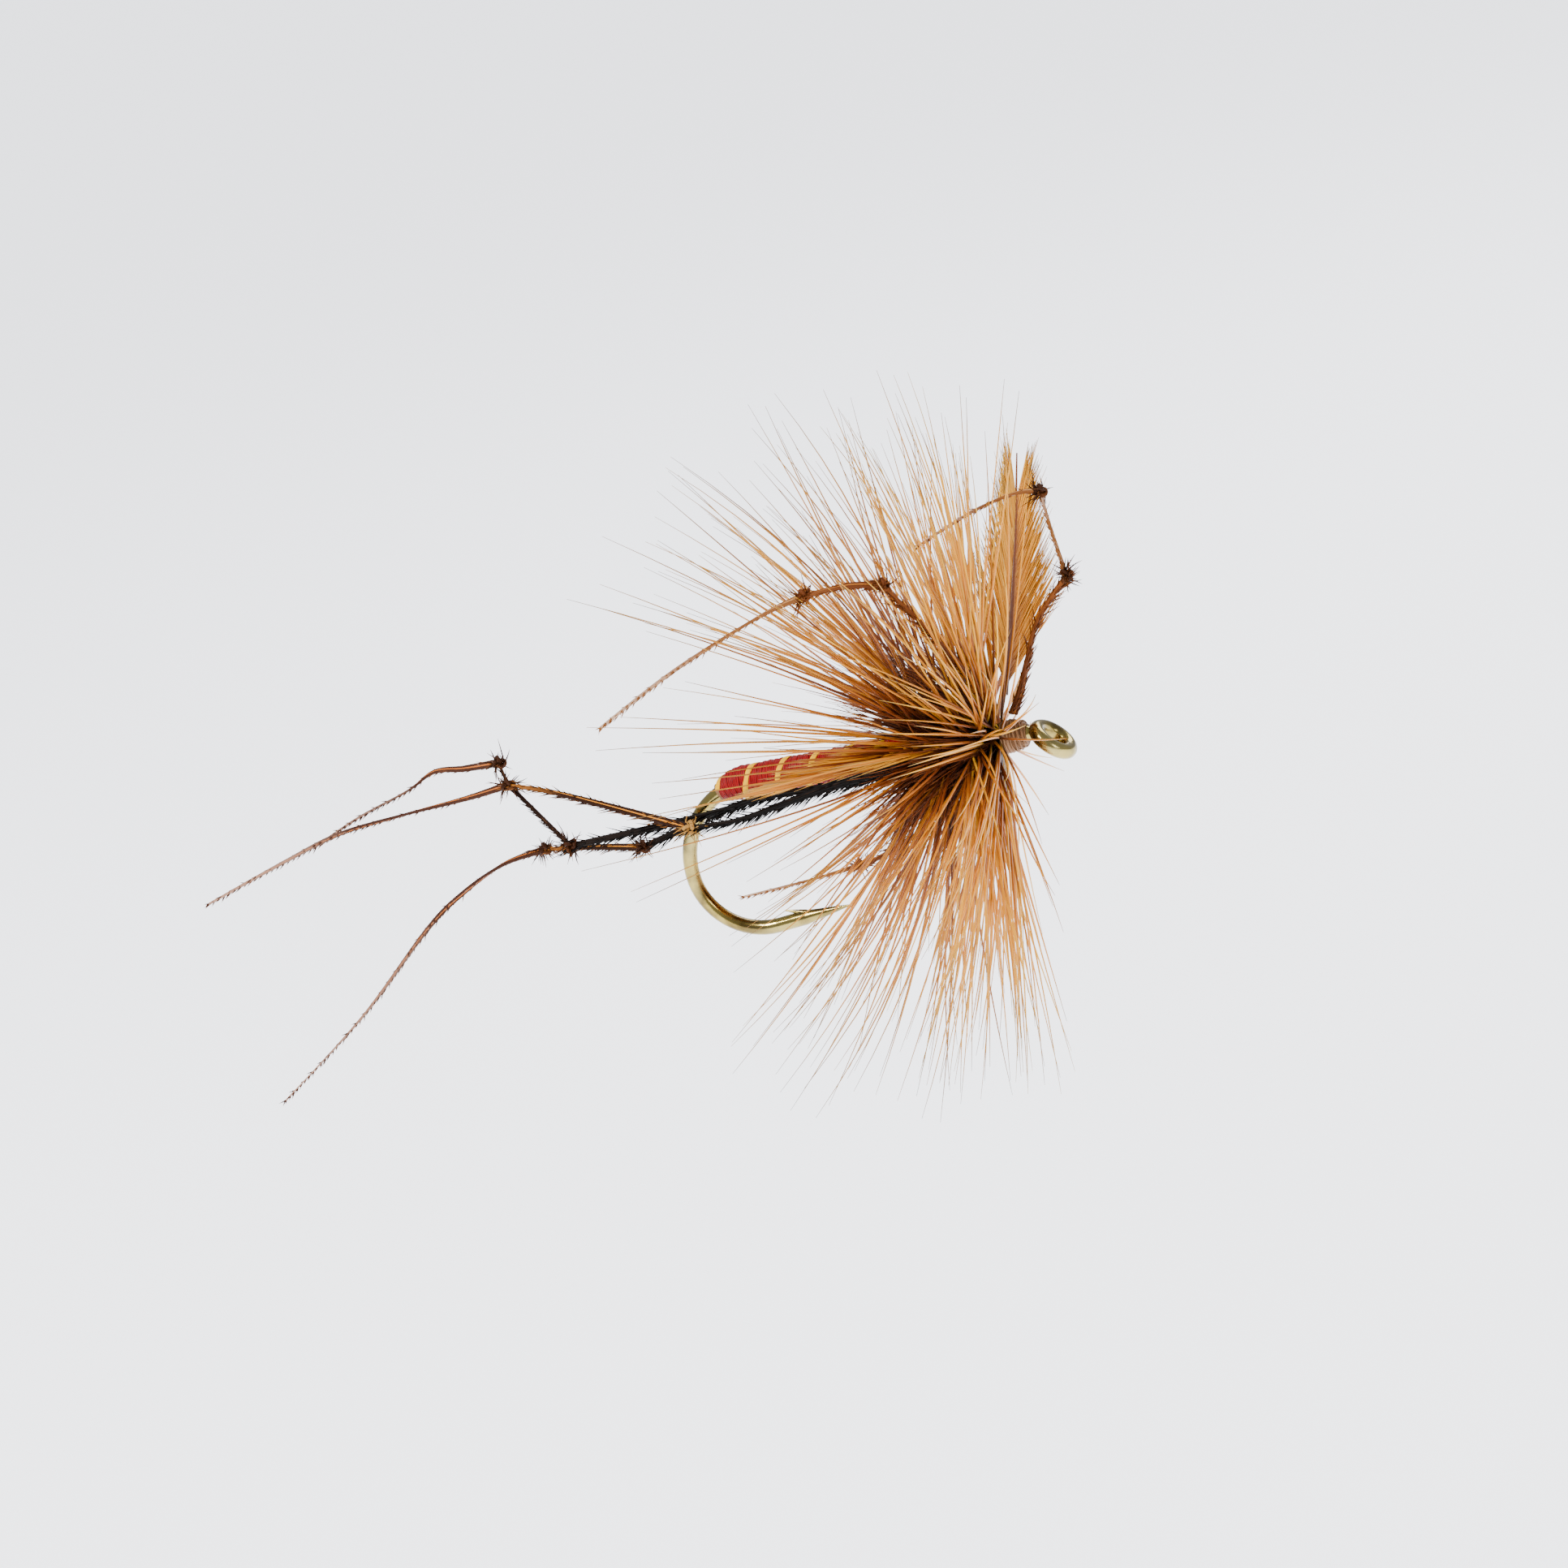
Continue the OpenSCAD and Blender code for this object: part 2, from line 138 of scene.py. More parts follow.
# Wings: base, then how far the quill climbs and where it heads, and the turn of the vane about the quill.
# Then the barbs: how many, how long and how far they lean, and the share of the wing that they are rooted
# on. stem is the share that the stem reaches.
WINGS = {
    "near": {
        "base": (-3.4, -1.2, 1.0), "climb": 4.4, "heading": 212, "turn": -12,
        "count": 170, "length": 6.0, "lean": 13, "rooted": 0.62, "stem": 0.7, "seed": 5,
    },
    "far": {
        "base": (-2.1, 1.4, 2.1), "climb": 55, "heading": 76, "turn": 50,
        "count": 460, "length": 5.4, "lean": 27, "rooted": 0.76, "stem": 0.97, "seed": 6,
    },
}
WING_LEN = 12.2
PATH_STEPS = 12          # points from one given point of a leg or a wing stem to the next


# ------------ node trees written as expressions
class Sock:
    """An output socket with arithmetic: an expression on sockets adds the Math nodes that it needs."""

    def __init__(self, net, out):
        self.net = net
        self.out = out

    def also(self, name):
        """Another output of the same node."""
        return Sock(self.net, self.out.node.outputs[name])

    def __add__(self, other):
        return self.net.maths("ADD", self, other)

    def __sub__(self, other):
        return self.net.maths("SUBTRACT", self, other)

    def __rsub__(self, other):
        return self.net.maths("SUBTRACT", other, self)

    def __mul__(self, other):
        return self.net.maths("MULTIPLY", self, other)

    def __truediv__(self, other):
        return self.net.maths("DIVIDE", self, other)

    def __pow__(self, other):
        return self.net.maths("POWER", self, other)


def is_vector(value):
    if isinstance(value, Sock):
        return value.out.type == "VECTOR"
    return isinstance(value, (tuple, Vector))


class Net:
    """A node tree that is being built."""

    def __init__(self, tree):
        self.tree = tree

    def node(self, kind, settings=None, inputs=None, output=0):
        """Adds a node: its settings first, then the values or links of its sockets, by name or number."""
        made = self.tree.nodes.new(kind)
        for name, value in (settings or {}).items():
            if name == "stops":
                fill_ramp(made.color_ramp, value)
            else:
                setattr(made, name, value)
        for key, value in (inputs or {}).items():
            self.feed(made, key, value)
        return Sock(self, made.outputs[output]) if made.outputs else made

    def feed(self, node, key, value):
        if isinstance(key, int):
            socket = node.inputs[key]
        else:
            socket = next(s for s in node.inputs if s.name == key and s.enabled)
        if isinstance(value, Sock):
            self.tree.links.new(value.out, socket)
        else:
            socket.default_value = value

    def maths(self, op, *values):
        """One Math node, or one Vector Math node where a value is a vector."""
        if not any(map(is_vector, values)):
            return self.node("ShaderNodeMath", {"operation": op}, dict(enumerate(values)))
        if op == "MULTIPLY" and not all(map(is_vector, values)):
            vector, factor = values if is_vector(values[0]) else values[::-1]
            return self.node("ShaderNodeVectorMath", {"operation": "SCALE"}, {0: vector, "Scale": factor})
        return self.node("ShaderNodeVectorMath", {"operation": op}, dict(enumerate(values)))

    def vector(self, x, y, z):
        return self.node("ShaderNodeCombineXYZ", None, {0: x, 1: y, 2: z})

    def parts(self, vector):
        """The three components of a vector."""
        split = self.node("ShaderNodeSeparateXYZ", None, {0: vector})
        return split, split.also("Y"), split.also("Z")

    def spread(self, value, low, high, to_low, to_high, smooth=False):
        """The value's range low to high drawn out to to_low to to_high, and held there."""
        kind = {"interpolation_type": "SMOOTHSTEP" if smooth else "LINEAR"}
        return self.node(
            "ShaderNodeMapRange", kind, {0: value, 1: low, 2: high, 3: to_low, 4: to_high}
        )

    def mix(self, factor, a, b):
        """Colour a, giving way to colour b as factor goes from 0 to 1."""
        return self.node(
            "ShaderNodeMix",
            {"data_type": "RGBA", "clamp_factor": True},
            {"Factor": factor, "A": a, "B": b},
            output=2,
        )

    def ramp(self, factor, stops):
        return self.node("ShaderNodeValToRGB", {"stops": stops}, {0: factor})

    def attribute(self, name):
        """A number that the mesh carries."""
        return self.node("ShaderNodeAttribute", {"attribute_name": name}, None, output=2)


def fill_ramp(ramp, stops):
    while len(ramp.elements) < len(stops):
        ramp.elements.new(1.0)
    for element, (place, colour) in zip(ramp.elements, stops):
        element.position = place
        element.color = colour


def rgb(code):
    """A colour written as six hex digits, as linear RGBA."""
    parts = [int(code[i:i + 2], 16) / 255 for i in (0, 2, 4)]
    linear = [p / 12.92 if p <= 0.04045 else ((p + 0.055) / 1.055) ** 2.4 for p in parts]
    return (*linear, 1.0)


# ------------ materials
def new_material(name):
    made = bpy.data.materials.new(name)
    made.use_nodes = True
    made.node_tree.nodes.clear()
    net = Net(made.node_tree)
    shader = net.tree.nodes.new("ShaderNodeBsdfPrincipled")
    end = net.tree.nodes.new("ShaderNodeOutputMaterial")
    net.tree.links.new(shader.outputs[0], end.inputs[0])
    return made, net, shader


def finish_shader(net, shader, **inputs):
    """Sets or links the shader's sockets. An underscore in a name stands for a space."""
    for name, value in inputs.items():
        net.feed(shader, name.replace("_", " "), value)


def noise(net, scale, detail=2.0, rough=0.5, vector=None):
    """Noise between 0 and 1 in the piece's own space; scale is in cycles per metre."""
    where = vector or net.node("ShaderNodeTexCoord", None, None, output="Object")
    return net.node(
        "ShaderNodeTexNoise", None, {"Vector": where, "Scale": scale, "Detail": detail, "Roughness": rough}
    )


def bump(net, height, depth):
    """Relief of the surface, depth in millimetres."""
    return net.node("ShaderNodeBump", None, {"Strength": 1.0, "Distance": depth * MM, "Height": height})


def hook_lacquer():
    """Bronze-gold lacquered wire, with mottled roughness, dark mottles of painted reflection, pale patches
    of painted highlight, and fine draw marks.
    """
    made, net, shader = new_material("bronze_gold_wire")
    roughness_and_painted_reflection = noise(net, 900, 3)
    painted_highlight_patches = net.spread(noise(net, 260, 2), 0.35, 0.7, 0.0, 1.0)
    # Painted reflection: the noise darkens the gold to deep brown in mottles, in place of dark surroundings
    # mirrored in the wire; the same noise also sets the roughness.
    gold = net.mix(net.spread(roughness_and_painted_reflection, 0.38, 0.62, 0.0, 1.0), rgb("9C8840"), rgb("54400F"))
    # Painted highlight: pale gold patches mixed into the base colour.
    colour = net.mix(painted_highlight_patches * 0.4, gold, rgb("CDBF7C"))
    marks = noise(net, 4200, 2)
    finish_shader(
        net, shader, Base_Color=colour, Metallic=1.0,
        Roughness=net.spread(roughness_and_painted_reflection, 0.3, 0.7, 0.13, 0.26), Normal=bump(net, marks, 0.006),
        Coat_Weight=0.35, Coat_Roughness=0.08,
    )
    return made


def waxed_thread(name, light, dark):
    """Tying thread: fine fibres that run along each turn."""
    made, net, shader = new_material(name)
    along = net.attribute("along")
    around = net.attribute("around")
    strands = net.vector(around * 5.0, along * 40.0, net.attribute("tone") * 9.0)
    fibres = noise(net, 1.6, 3, 0.6, strands)
    broad = noise(net, 700, 2)
    colour = net.mix(fibres * 0.65 + broad * 0.35, light, dark)
    finish_shader(
        net, shader, Base_Color=colour, Roughness=0.6, Normal=bump(net, fibres, 0.02),
    )
    return made


def red_floss():
    """Wound red floss: silky strands laid side by side round the body, with painted shade: dark red in the
    grooves between strands, bright red on their crests.
    """
    made, net, shader = new_material("red_floss")
    along = net.attribute("along")
    around = net.attribute("around")
    lean = along * (BODY_LEN / FLOSS_STRAND * 3.0) + around * 1.5
    strands = noise(net, 1.0, 3, 0.65, net.vector(lean, around * 5.0, 0.0))
    grooves = net.maths("SINE", lean * 6.283) * 0.5 + 0.5    # one groove to each unit of lean
    broad = noise(net, 420, 2)
    relief = strands * 0.7 + grooves * 0.3
    # Painted shade: where the relief is low, down in the grooves, the floss gets the dark red; the crests
    # get the bright red.
    painted_groove_shade = net.spread(relief, 0.25, 0.75, 0.0, 1.0)
    colour = net.mix(painted_groove_shade, rgb("3C0002"), rgb("A80306"))
    colour = net.mix(net.spread(broad, 0.55, 0.75, 0.0, 0.25), colour, rgb("C81410"))
    finish_shader(
        net, shader, Base_Color=colour, Roughness=net.spread(strands, 0.3, 0.7, 0.38, 0.6),
        Normal=bump(net, relief, 0.06), Specular_IOR_Level=0.18,
    )
    return made


def yellow_rib():
    """Flat yellow floss strip, a little shiny along its strands."""
    made, net, shader = new_material("yellow_rib")
    along = net.attribute("along")
    around = net.attribute("around")
    strands = noise(net, 1.0, 3, 0.6, net.vector(around * 9.0, along * 30.0, 0.0))
    colour = net.mix(strands, rgb("FFC400"), rgb("D09000"))
    finish_shader(
        net, shader, Base_Color=colour, Roughness=0.5, Normal=bump(net, strands, 0.012),
        Specular_IOR_Level=0.08,
    )
    return made


def feather(name, stops, light, dark, rough=0.42):
    """Feather fibre: coloured along its length by the stops, each fibre a little lighter or darker."""
    made, net, shader = new_material(name)
    along = net.attribute("along")
    tone = net.attribute("tone")
    flecks = noise(net, 1500, 2)
    place = along + (tone - 0.5) * 0.16 + (flecks - 0.5) * 0.12
    colour = net.ramp(place, stops)
    colour = net.mix(net.spread(tone, 0.55, 1.0, 0.0, 0.55), colour, light)
    colour = net.mix(net.spread(tone, 0.3, 0.0, 0.0, 0.5), colour, dark)
    finish_shader(
        net, shader, Base_Color=colour, Roughness=rough, Specular_IOR_Level=0.45,
        Normal=bump(net, noise(net, 5000, 1), 0.008),
    )
    return made


def leg_fibre(name, edge, core, tip):
    """Pheasant-tail fibre: dark strands and lighter ones, told apart by their tone, paling at the tip."""
    made, net, shader = new_material(name)
    along = net.attribute("along")
    tone = net.attribute("tone")
    flecks = noise(net, 2600, 3)
    light = net.spread(tone + (flecks - 0.5) * 0.5, 0.32, 0.72, 0.0, 1.0, smooth=True)
    colour = net.mix(light, edge, core)
    colour = net.mix(net.spread(along, 0.55, 1.0, 0.0, 0.75), colour, tip)
    finish_shader(
        net, shader, Base_Color=colour, Roughness=0.55, Specular_IOR_Level=0.08,
        Normal=bump(net, flecks, 0.01),
    )
    return made


def all_materials():
    ginger_stops = [
        (0.0, rgb("1C0802")), (0.09, rgb("542204")), (0.22, rgb("A25407")), (0.5, rgb("E28E0A")),
        (0.8, rgb("E8A016")), (1.0, rgb("583E1E")),
    ]
    brown_stops = [
        (0.0, rgb("140602")), (0.12, rgb("421804")), (0.3, rgb("884007")), (0.58, rgb("C4740A")),
        (0.82, rgb("BA8018")), (1.0, rgb("4C3A22")),
    ]
    web_stops = [(0.0, rgb("100501")), (0.35, rgb("3A1603")), (0.75, rgb("6E3408")), (1.0, rgb("945210"))]
    wing_stops = [(0.0, rgb("8A4606")), (0.3, rgb("D8880A")), (0.75, rgb("EAA216")), (1.0, rgb("7E6030"))]
    tan, dark, soot = rgb("A87C3E"), rgb("2A1408"), rgb("050302")
    return {
        "hook": hook_lacquer(),
        "thread": waxed_thread("tying_thread", rgb("A87646"), rgb("4A2A14")),
        "floss": red_floss(),
        "rib": yellow_rib(),
        "stem": feather("feather_stem", web_stops, rgb("6B3A1C"), rgb("180A05"), 0.35),
        "ginger": feather("ginger_hackle", ginger_stops, rgb("FFC430"), rgb("582604")),
        "brown": feather("brown_hackle", brown_stops, rgb("ECA01C"), rgb("341204")),
        "web": feather("webby_hackle", web_stops, rgb("9A5216"), rgb("180802"), 0.6),
        "wing": feather("wing_feather", wing_stops, rgb("F0B850"), rgb("7E4A14")),
        "black": leg_fibre("black_pheasant_fibre", soot, rgb("2A180C"), rgb("1A0E06")),
        "brown_leg": leg_fibre("brown_pheasant_fibre", rgb("5E3014"), rgb("B46C2A"), rgb("8A5024")),
        "tibia": leg_fibre("tibia_fibre", dark, rgb("D08228"), rgb("B87028")),
        "dark_tibia": leg_fibre("dark_tibia_fibre", rgb("22120A"), rgb("5A381E"), rgb("3A2416")),
        "tarsus": leg_fibre("tarsus_fibre", rgb("3C2014"), rgb("B8662C"), rgb("C29A84")),
        "pale_tarsus": leg_fibre("pale_tarsus_fibre", rgb("7A4A24"), rgb("BC8450"), rgb("CCAE94")),
        "knot": leg_fibre("dark_knot_fibre", rgb("341A0A"), rgb("965A22"), rgb("6A3C1A")),
        "tan_knot": leg_fibre("tan_knot_fibre", tan, rgb("D8B070"), tan),
    }


# ------------ paths and tubes
def curve_point(points, i, t):
    """A point of the smooth curve through the points, a share t of the way from point i to the next."""
    a = points[max(i - 1, 0)]
    b, c = points[i], points[i + 1]
    d = points[min(i + 2, len(points) - 1)]
    return 0.5 * (
        2 * b + (c - a) * t + (2 * a - 5 * b + 4 * c - d) * t ** 2 + (3 * b - a - 3 * c + d) * t ** 3
    )


def smooth_path(points, steps):
    points = [Vector(p) for p in points]
    path = [curve_point(points, i, k / steps) for i in range(len(points) - 1) for k in range(steps)]
    return [*path, points[-1]]


def frames_along(path):
    """For each point of a path: two directions across it that don't twist from one point to the next."""
    ways = []
    for i in range(len(path)):
        ways.append((path[min(i + 1, len(path) - 1)] - path[max(i - 1, 0)]).normalized())
    start = Vector((0, 1, 0)) if abs(ways[0].y) < 0.9 else Vector((1, 0, 0))
    side = (start - ways[0] * start.dot(ways[0])).normalized()
    found = []
    for way in ways:
        side = (side - way * side.dot(way)).normalized()
        found.append((side, way.cross(side)))
    return found


def ring_faces(gaps, sides, base=0, flip=False):
    """The faces of a closed tube: the walls between its rings of points, and a cap on each end. flip is for
    rings that run the other way round."""
    faces = []
    for i in range(gaps):
        for k in range(sides):
            a, b = base + i * sides + k, base + i * sides + (k + 1) % sides
            faces.append((a, a + sides, b + sides, b) if flip else (a, b, b + sides, a + sides))
    first = [base + k for k in range(sides)]
    last = [base + gaps * sides + k for k in range(sides)]
    faces.append(tuple(first if flip else reversed(first)))
    faces.append(tuple(reversed(last) if flip else last))
    return faces


def plain_mesh(name, points, faces, **carried):
    """A smooth mesh that carries the given numbers on its points."""
    mesh = bpy.data.meshes.new(name)
    mesh.from_pydata(points, [], faces)
    for key, values in carried.items():
        mesh.attributes.new(key, "FLOAT", "POINT").data.foreach_set("value", values)
    return shade_smooth(mesh)


def tube_mesh(name, paths, sides, radius, tone=0.5):
    """Closed tubes along the paths, in one mesh. radius is a function of the share along a path, and tone
    is one number, or one for each path. The mesh carries along, around and tone."""
    points, faces, along, around, tones = [], [], [], [], []
    for number, path in enumerate(paths):
        own_tone = tone[number] if isinstance(tone, (list, tuple)) else tone
        last = len(path) - 1
        faces.extend(ring_faces(last, sides, len(points)))
        for i, (place, (side, over)) in enumerate(zip(path, frames_along(path))):
            share = i / last
            for k in range(sides):
                turn = 2 * math.pi * k / sides
                out = side * (math.cos(turn) * radius(share)) + over * (math.sin(turn) * radius(share))
                points.append((place + out) * MM)
                along.append(share)
                around.append(abs(2 * k / sides - 1))
                tones.append(own_tone)
    return plain_mesh(name, points, faces, along=along, around=around, tone=tones)


def shade_smooth(mesh):
    mesh.polygons.foreach_set("use_smooth", [True] * len(mesh.polygons))
    mesh.update()
    return mesh


def add_piece(name, mesh, material, body, slot_name, *replaced):
    """Puts a finished mesh in the scene as a piece that rides on a body."""
    mesh.materials.clear()
    mesh.materials.append(material)
    piece = bpy.data.objects.new(name, mesh)
    bpy.context.scene.collection.objects.link(piece)
    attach(piece, body)
    if replaced:
        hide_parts(*replaced)
    return piece


# ------------ geometry nodes
def new_tree(name, sizes):
    """A geometry node tree with the named inputs, and its Net. sizes gives each input's socket type."""
    tree = bpy.data.node_groups.new(name, "GeometryNodeTree")
    tree.interface.new_socket("Geometry", in_out="INPUT", socket_type="NodeSocketGeometry")
    for label, kind in sizes.items():
        tree.interface.new_socket(label, in_out="INPUT", socket_type=kind)
    tree.interface.new_socket("Geometry", in_out="OUTPUT", socket_type="NodeSocketGeometry")
    net = Net(tree)
    start = net.node("NodeGroupInput")
    return tree, net, start


FLOAT, WHOLE, PLACE, FINISH = "NodeSocketFloat", "NodeSocketInt", "NodeSocketVector", "NodeSocketMaterial"
HAIR_INPUTS = {
    "Count": WHOLE, "Length": FLOAT, "Length Spread": FLOAT, "Width": FLOAT, "Curl": FLOAT,
    "Wander": FLOAT, "Steps": WHOLE, "Seed": WHOLE, "Finish": FINISH,
}


IN_MILLIMETRES = ("Length", "Width", "Axis Height")
IN_DEGREES = ("Sweep Low", "Sweep Low Under", "Sweep High", "Lean", "Lean Low", "Lean High")
SEED_STEP = 17.0         # from one seed's draws to the next seed's


def tree_value(label, value):
    """A size as a node tree takes it, in metres and radians."""
    if label in IN_MILLIMETRES:
        return value * MM
    if label in IN_DEGREES:
        return math.radians(value)
    return value


def random_number(net, start, low, high, salt, clump=1):
    """A random number for each fibre, or for each clump of fibres. salt keeps one draw apart from
    the next."""
    seed = start.also("Seed") * SEED_STEP + float(salt)
    group = net.maths("FLOOR", net.node("GeometryNodeInputIndex") / float(clump))
    return net.node(
        "FunctionNodeRandomValue", {"data_type": "FLOAT"},
        {"Min": low, "Max": high, "Seed": seed, "ID": group}, output=1,
    )


def random_vector(net, start, salt):
    """A random vector for each fibre."""
    seed = start.also("Seed") * SEED_STEP + float(salt)
    return net.node(
        "FunctionNodeRandomValue", {"data_type": "FLOAT_VECTOR"},
        {"Min": (-1.0, -1.0, -1.0), "Max": (1.0, 1.0, 1.0), "Seed": seed},
    )


def store(net, geometry, name, kind, value):
    """The geometry, carrying a value on its points."""
    return net.node(
        "GeometryNodeStoreNamedAttribute", {"data_type": kind, "domain": "POINT"},
        {"Geometry": geometry, "Name": name, "Value": value},
    )


def recall(net, name, kind):
    """A value that the geometry carries."""
    return net.node("GeometryNodeInputNamedAttribute", {"data_type": kind}, {"Name": name})


TIP_TAPER = 0.86         # how much of its width a fibre has lost at the tip


def grow_fibres(net, start, roots, way, reach, curl, tone):
    """Grows a thin tapered fibre from each root point: it leaves along way, and curl bends it more and
    more towards its tip. The result carries along and tone."""
    place = net.node("GeometryNodeInputPosition")
    for name, kind, value in (
        ("root", "FLOAT_VECTOR", place), ("way", "FLOAT_VECTOR", way), ("curl", "FLOAT_VECTOR", curl),
        ("reach", "FLOAT", reach), ("tone", "FLOAT", tone),
    ):
        roots = store(net, roots, name, kind, value)
    line = net.node("GeometryNodeCurvePrimitiveLine", None, {"End": (0.0, 0.0, 0.001)})
    line = net.node("GeometryNodeResampleCurve", None, {"Curve": line, "Count": start.also("Steps")})
    share = net.node("GeometryNodeSplineParameter")
    line = store(net, line, "along", "FLOAT", share)
    fibres = net.node("GeometryNodeInstanceOnPoints", None, {"Points": roots, "Instance": line})
    fibres = net.node("GeometryNodeRealizeInstances", None, {"Geometry": fibres})
    along = recall(net, "along", "FLOAT")
    length = recall(net, "reach", "FLOAT")
    spot = recall(net, "root", "FLOAT_VECTOR") + recall(net, "way", "FLOAT_VECTOR") * (along * length)
    spot = spot + recall(net, "curl", "FLOAT_VECTOR") * (along * along * length)
    fibres = net.node("GeometryNodeSetPosition", None, {"Geometry": fibres, "Position": spot})
    slim = (1.0 - along * along * TIP_TAPER) * start.also("Width")
    section = net.node("GeometryNodeCurvePrimitiveCircle", None, {"Resolution": 3, "Radius": 1.0})
    made = net.node(
        "GeometryNodeCurveToMesh", None,
        {"Curve": fibres, "Profile Curve": section, "Scale": slim, "Fill Caps": True},
    )
    made = net.node("GeometryNodeRealizeInstances", None, {"Geometry": made})
    made = net.node("GeometryNodeSetMaterial", None, {"Geometry": made, "Material": start.also("Finish")})
    net.node("NodeGroupOutput", None, {0: made})


def random_reach(net, start, length):
    """A fibre's length: the given one less a random share of it."""
    return length * (1.0 - start.also("Length Spread") * random_number(net, start, 0.0, 1.0, 3))


def hackle_tree():
    """Barbs that stand out all round a wound stem and sweep back, less so underneath."""
    sizes = {**HAIR_INPUTS, "Axis Height": FLOAT, "Sweep Low": FLOAT, "Sweep Low Under": FLOAT,
             "Sweep High": FLOAT, "Crowding": FLOAT, "Tilt": PLACE}
    tree, net, start = new_tree("hackle_barbs", sizes)
    curve = net.node("GeometryNodeResampleCurve", None, {"Curve": start, "Count": start.also("Count")})
    roots = net.node("GeometryNodeCurveToPoints", {"mode": "EVALUATED"}, {"Curve": curve})
    _, y, z = net.parts(net.node("GeometryNodeInputPosition"))
    out = net.maths("NORMALIZE", net.vector(0.0, y, z - start.also("Axis Height")))
    swing = random_number(net, start, -0.35, 0.35, 7, 6)
    turned = net.node(
        "ShaderNodeVectorRotate", {"rotation_type": "X_AXIS"},
        {"Vector": out, "Angle": random_number(net, start, -0.22, 0.22, 1) + swing},
    )
    _, _, rise = net.parts(turned)
    under = (1.0 - rise) * 0.5
    low = start.also("Sweep Low") + (start.also("Sweep Low Under") - start.also("Sweep Low")) * under
    draw = random_number(net, start, 0.0, 0.3, 2) + random_number(net, start, 0.0, 0.7, 8, 6)
    draw = draw ** start.also("Crowding")
    sweep = low + (start.also("Sweep High") + under * 0.08 - low) * (1.0 - draw)
    way = turned * net.maths("SINE", sweep) + net.vector(net.maths("COSINE", sweep) * -1.0, 0.0, 0.0)
    way = net.node(
        "ShaderNodeVectorRotate", {"rotation_type": "EULER_XYZ"},
        {"Vector": way, "Rotation": start.also("Tilt")},
    )
    reach = random_reach(net, start, start.also("Length"))
    bend = random_number(net, start, -0.25, 1.0, 4) * start.also("Curl")
    curl = net.vector(bend * -1.0, 0.0, 0.0) + random_vector(net, start, 5) * start.also("Wander")
    tone = random_number(net, start, 0.0, 1.0, 6)
    grow_fibres(net, start, roots, way, reach, curl, tone)
    return tree


def fringe_tree():
    """Short fibres that lean forward along a strand, all round it or within a fan about one side."""
    sizes = {**HAIR_INPUTS, "Lean Low": FLOAT, "Lean High": FLOAT, "Side": PLACE, "Fan": FLOAT}
    tree, net, start = new_tree("fringe", sizes)
    curve = net.node("GeometryNodeResampleCurve", None, {"Curve": start, "Count": start.also("Count")})
    roots = net.node("GeometryNodeCurveToPoints", {"mode": "EVALUATED"}, {"Curve": curve})
    tangent = roots.also("Tangent")
    side = start.also("Side")
    dot = net.node(
        "ShaderNodeVectorMath", {"operation": "DOT_PRODUCT"}, {0: side, 1: tangent}, output="Value"
    )
    across = net.maths("NORMALIZE", side - tangent * dot)
    fan = start.also("Fan")
    turned = net.node(
        "ShaderNodeVectorRotate", {"rotation_type": "AXIS_ANGLE"},
        {"Vector": across, "Axis": tangent, "Angle": random_number(net, start, -1.0, 1.0, 1) * fan},
    )
    lean = start.also("Lean Low")
    lean = lean + (start.also("Lean High") - lean) * random_number(net, start, 0.0, 1.0, 2)
    way = tangent * net.maths("COSINE", lean) + turned * net.maths("SINE", lean)
    reach = random_reach(net, start, start.also("Length"))
    curl = tangent * (start.also("Curl") * random_number(net, start, 0.2, 1.0, 4))
    curl = curl + random_vector(net, start, 5) * start.also("Wander")
    grow_fibres(net, start, roots, way, reach, curl, random_number(net, start, 0.0, 0.4, 6))
    return tree


def vane_tree():
    """Barbs on both sides of a quill, in one plane, longest below the middle, closing in at the tip."""
    sizes = {**HAIR_INPUTS, "Side": PLACE, "Lean": FLOAT, "Cup": FLOAT}
    tree, net, start = new_tree("vane_barbs", sizes)
    curve = net.node("GeometryNodeResampleCurve", None, {"Curve": start, "Count": start.also("Count")})
    share = net.node("GeometryNodeSplineParameter")
    curve = store(net, curve, "share", "FLOAT", share)
    roots = net.node("GeometryNodeCurveToPoints", {"mode": "EVALUATED"}, {"Curve": curve})
    tangent = roots.also("Tangent")
    where = recall(net, "share", "FLOAT")
    index = net.node("GeometryNodeInputIndex")
    flip = net.maths("MODULO", index, 2.0) * 2.0 - 1.0
    side = start.also("Side")
    face = net.maths("CROSS_PRODUCT", tangent, side)
    lean = start.also("Lean") * (1.0 - where * 0.55) + random_number(net, start, -0.07, 0.07, 1)
    way = tangent * net.maths("COSINE", lean) + side * (net.maths("SINE", lean) * flip)
    way = way + face * (start.also("Cup") + random_number(net, start, -0.03, 0.03, 2))
    reach = random_reach(net, start, start.also("Length") * (1.0 - where * 0.35))
    curl = tangent * start.also("Curl") + random_vector(net, start, 5) * start.also("Wander")
    tone = random_number(net, start, 0.0, 0.7, 6) + (flip * 0.5 + 0.5) * 0.3
    grow_fibres(net, start, roots, way, reach, curl, tone)
    return tree


